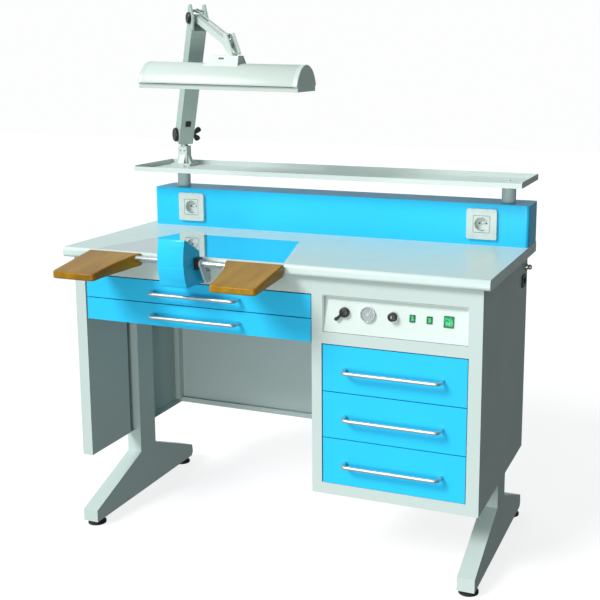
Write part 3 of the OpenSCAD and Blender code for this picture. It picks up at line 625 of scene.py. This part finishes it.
def make_armrest(name, side):
    """Wooden wedge round the rod: straight outside, hollowed inside, thinner towards the front."""
    low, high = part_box(name)
    wide, long = (high[0] - low[0]) / MM, (high[1] - low[1]) / MM
    outer = low[0] if side < 0 else high[0]
    inner_front, hollow, corner, steps = 128.0, 8.6, 10.0, 14
    plan = [(2.0, 0.0), (0.0, long - corner), (corner * 0.3, long - corner * 0.3), (corner, long)]
    plan += [(inner_front - corner, long), (inner_front - corner * 0.3, long - corner * 0.3)]
    for k in range(steps + 1):
        t = k / steps
        u = inner_front + (wide - inner_front) * t - 4 * hollow * t * (1 - t)
        plan.append((u, (long - corner) * (1 - t)))
    tall = (high[2] - low[2]) / MM

    hip, drop, fall = 31.0, 3.0, 25.0  # the top falls gently to the hip, then steadily to the front
    knee, root, rise = 60.0, 14.0, 7.0  # the same for the underside

    def heights(v):
        top = tall - drop * v / hip if v < hip else tall - drop - fall * (v - hip) / (long - hip)
        under = root - rise * v / knee if v < knee else rise * (long - v) / (long - knee)
        return under, top

    piece = Piece(Matrix.Translation((outer, high[1], low[2])))
    n = len(plan)
    under = [(-side * u, -v, heights(v)[0]) for u, v in plan]
    over = [(-side * u, -v, heights(v)[1]) for u, v in plan]
    sides = [(i, (i + 1) % n, (i + 1) % n + n, i + n) for i in range(n)]
    piece.faces(under + over, sides + [tuple(range(n - 1, -1, -1)), tuple(range(n, 2 * n))])
    piece.build(name + "_wood", name, "wood", 4.5, replaces=(name,))


make_armrest("left_armrest", -1)
make_armrest("right_armrest", 1)


# ---------------------------------------------------------------- lamp pieces

SHOULDER = joint_at("lower_arm_tilt")
ELBOW = joint_at("elbow_tilt")
ARM_X = joint_axis("lower_arm_tilt")
LOWER = basis(SHOULDER, ARM_X, ELBOW - SHOULDER)
HEAD_TURN = 3.0  # degrees that the lamp stands turned at rest
HEAD_X = (math.cos(math.radians(HEAD_TURN)), math.sin(math.radians(HEAD_TURN)), 0)
HEAD = basis(joint_at("head_swivel"), HEAD_X, joint_axis("head_swivel"))


def cap_profile(radius, depth):
    """Turned cap: a flat face with a rolled edge and a shallow dimple."""
    return [(0.1, 0), (radius - 1.5, 0), (radius, 1.6), (radius, depth * 0.55), (radius - 2.5, depth * 0.9),
            (radius * 0.6, depth), (radius * 0.45, depth - 0.8), (0.1, depth - 0.8)]


def make_arm_caps(half_width):
    piece = Piece(Matrix.Identity(4))
    toward = spin(-90, "Y")
    low = LOWER @ shift(x=-half_width) @ toward
    piece.lathe(cap_profile(22.0, 11.0), low)
    high = basis(ELBOW, ARM_X, ELBOW - SHOULDER) @ shift(x=-half_width - 1) @ toward
    piece.lathe(cap_profile(17.0, 9.0), high)
    piece.build("arm_disc_caps", "lower_arm", "black_plastic", replaces=("arm_caps",))


def make_wing_knob(half_width):
    """Hub with two rounded wings that spread outwards, one up and one down."""
    place = LOWER @ shift(x=half_width + 0.5)
    piece = Piece(place)
    out = spin(90, "Y")
    piece.lathe([(0.1, 0), (9.0, 0), (9.0, 8.0), (7.0, 12.0), (0.1, 12.4)], out)
    wing = [(2, -4), (10, -6.5), (20, -9.5), (27, -8), (30, 0), (27, 8), (20, 9.5), (10, 6.5), (2, 4)]
    for turn in (48, -48):
        piece.prism(wing, -2.6, 2.6, shift(x=7) @ spin(turn, "Y") @ spin(90, "X"))
    piece.build("wing_knob_grip", "wing_knob", "black_plastic", 1.2, replaces=("wing_knob",))


def head_section(grow, half=66.0, radius=75.0, body=56.0, tall=70.0, steps=40):
    """Outline of the lamp's end: a round back over a narrower mouth, in (depth, height) from its crown."""
    points = []
    limit = math.acos((radius - body) / radius)
    for k in range(steps + 1):
        a = limit - 2 * limit * k / steps
        points.append(((radius + grow) * math.sin(a), -radius + (radius + grow) * math.cos(a)))
    points += [(-half - grow, -body), (-half - grow, -tall - grow * 0.5), (half + grow, -tall - grow * 0.5),
               (half + grow, -body)]
    return points


def make_end_caps(head_x=-24.0, head_drop=42.0, length=462.0):
    for name, side in (("left", -1), ("right", 1)):
        piece = Piece(HEAD @ shift(x=head_x, z=-head_drop))
        end = side * length / 2
        low, high = sorted((end - side * 14.0, end + side * 0.8))
        piece.prism(head_section(0.5), low, high, spin(90, "Z") @ spin(90, "X"))
        piece.build("lamp_end_cap_" + name, "lamp_head", "lamp_white", 3.0)


def make_housing_slot():
    # A black insert in the slot on the housing's slope: the slot's dark inside is painted shade.
    slope = basis(HEAD @ (Vector((-30.0, -21.5, -30.0)) * MM), HEAD.to_3x3() @ Vector((1, 0, 0)),
                  HEAD.to_3x3() @ Vector((0, -29.5, 16.0)))
    piece = Piece(slope)
    piece.prism(rounded_rectangle(17, 6, 2.8), -3.0, 0.5)
    piece.build("lamp_housing_slot_painted_shade", "lamp_head", "black_plastic", 0.3)


def make_clamp_screws():
    low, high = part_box("lamp_clamp")
    base = Vector(((low[0] + high[0]) / 2, (low[1] + high[1]) / 2, low[2]))
    for name, x in (("left", -7.0), ("right", 7.0)):
        piece = Piece(basis(base + Vector((x, -14.5, 48.0)) * MM, (1, 0, 0), (0, -1, 0)))
        piece.lathe([(0.1, -1.0), (3.2, -1.0), (3.2, 0.9), (2.4, 1.6), (0.1, 1.6)], steps=24)
        piece.build("lamp_clamp_screw_" + name, "bench", "bare_steel")


ARM_HALF = 23.0  # half the lower arm's width over its cheeks
make_arm_caps(ARM_HALF)
make_wing_knob(ARM_HALF)
make_end_caps()
make_housing_slot()
make_clamp_screws()


# ---------------------------------------------------------------- fixings

def screw_head(piece, at):
    """Low pan head with a cross recess."""
    piece.lathe([(0.1, -0.8), (4.2, -0.8), (4.2, 0.5), (3.4, 1.3), (1.5, 1.7), (0.1, 1.7)], at, 28)
    for turn in (0, 90):
        piece.prism(rounded_rectangle(4.4, 0.8, 0.3, 2), 1.2, 1.78, at @ spin(turn))


def make_back_screws():
    """Screws along the edges of the two back sheets."""
    for name, columns in (("modesty_panel", 4), ("cabinet_shell", 3)):
        low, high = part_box(name)
        piece = Piece(Matrix.Identity(4))
        inset = 0.018
        for k in range(columns):
            x = low[0] + inset + (high[0] - low[0] - 2 * inset) * k / (columns - 1)
            for z in (low[2] + inset, high[2] - inset):
                screw_head(piece, basis((x, high[1], z), (-1, 0, 0), (0, 1, 0)))
        piece.build(name + "_screws", "bench", "bare_steel")


def make_shelf_screws():
    """One screw through the tray into each post, on the washer that the tray has there."""
    low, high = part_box("shelf_posts")
    radius = (high[1] - low[1]) / 2
    piece = Piece(Matrix.Identity(4))
    for x in (low[0] + radius, high[0] - radius):
        screw_head(piece, basis((x, (low[1] + high[1]) / 2, high[2] + 5.5 * MM), (1, 0, 0), (0, 0, 1)))
    piece.build("shelf_screws", "bench", "bare_steel")


make_back_screws()
make_shelf_screws()


# ---------------------------------------------------------------- stage

FLOOR_REACH = 12
FLOOR_GLOW = 0.78
AMBIENT = (0.99, 1.12, 1.13, 1.0)
BACKDROP = (0.98, 0.99, 0.985, 1.0)


def make_floor():
    """A pale floor that only the camera sees, so it throws no light on the bench."""
    mesh = bpy.data.meshes.new("floor")
    corners = [(x * FLOOR_REACH, y * FLOOR_REACH, 0) for x, y in ((-1, -1), (1, -1), (1, 1), (-1, 1))]
    mesh.from_pydata(corners, [], [(0, 1, 2, 3)])
    floor = bpy.data.objects.new("floor", mesh)
    bpy.context.scene.collection.objects.link(floor)
    floor.visible_diffuse = False
    floor.visible_glossy = False
    n = Nodes("floor")
    n.colour(n.ramp(n.noise(0.8, 2.0), [(0.3, (0.30, 0.30, 0.30, 1.0)), (0.7, (0.31, 0.31, 0.31, 1.0))]))
    n.put("Roughness", 0.9)
    n.put("Specular IOR Level", 0.0)
    n.put("Emission Color", (1.0, 1.0, 1.0, 1.0))
    n.put("Emission Strength", FLOOR_GLOW)
    mesh.materials.append(n.material)


def make_world():
    """A white studio that is dim on the right and below, and plain white where the camera sees it."""
    world = bpy.data.worlds.new("studio")
    world.use_nodes = True
    tree = world.node_tree
    back = tree.nodes["Background"]
    place = tree.nodes.new("ShaderNodeTexCoord")
    parts = tree.nodes.new("ShaderNodeSeparateXYZ")
    tree.links.new(place.outputs["Generated"], parts.inputs[0])

    def graded(axis, start, end, low, high):
        node = tree.nodes.new("ShaderNodeMapRange")
        for key, value in (("From Min", start), ("From Max", end), ("To Min", low), ("To Max", high)):
            node.inputs[key].default_value = value
        tree.links.new(parts.outputs[axis], node.inputs["Value"])
        return node.outputs["Result"]

    both = tree.nodes.new("ShaderNodeMath")
    both.operation = "MULTIPLY"
    tree.links.new(graded("X", -0.5, 0.7, 0.72, 0.14), both.inputs[0])
    tree.links.new(graded("Z", -0.6, 0.4, 0.55, 1.0), both.inputs[1])
    tree.links.new(both.outputs[0], back.inputs["Strength"])
    back.inputs["Color"].default_value = AMBIENT
    seen = tree.nodes.new("ShaderNodeBackground")
    seen.inputs["Color"].default_value = BACKDROP
    path = tree.nodes.new("ShaderNodeLightPath")
    mix = tree.nodes.new("ShaderNodeMixShader")
    tree.links.new(path.outputs["Is Camera Ray"], mix.inputs[0])
    tree.links.new(back.outputs[0], mix.inputs[1])
    tree.links.new(seen.outputs[0], mix.inputs[2])
    tree.links.new(mix.outputs[0], tree.nodes["World Output"].inputs["Surface"])
    bpy.context.scene.world = world


def area_light(name, at, target, size, power):
    """A soft rectangular lamp that faces the target."""
    data = bpy.data.lights.new(name, "AREA")
    data.shape = "RECTANGLE"
    data.size, data.size_y = size
    data.energy = power
    light = bpy.data.objects.new(name, data)
    light.location = at
    light.rotation_euler = (Vector(at) - Vector(target)).to_track_quat("Z", "Y").to_euler()
    bpy.context.scene.collection.objects.link(light)


def sun(name, azimuth, elevation, strength, softness):
    """azimuth is degrees to the left of the bench's front."""
    data = bpy.data.lights.new(name, "SUN")
    data.energy = strength
    data.angle = math.radians(softness)
    light = bpy.data.objects.new(name, data)
    a, e = math.radians(azimuth), math.radians(elevation)
    towards = Vector((-math.sin(a) * math.cos(e), -math.cos(a) * math.cos(e), math.sin(e)))
    light.rotation_euler = towards.to_track_quat("Z", "Y").to_euler()
    light.location = towards * 4.0
    bpy.context.scene.collection.objects.link(light)


make_floor()
make_world()
sun("key", 30.0, 38.0, 2.35, 20.0)
area_light("fill", (0.45, -3.2, 0.7), (-0.2, 0.2, 0.45), (0.9, 0.7), 34.0)
bpy.context.scene.view_settings.view_transform = "Standard"
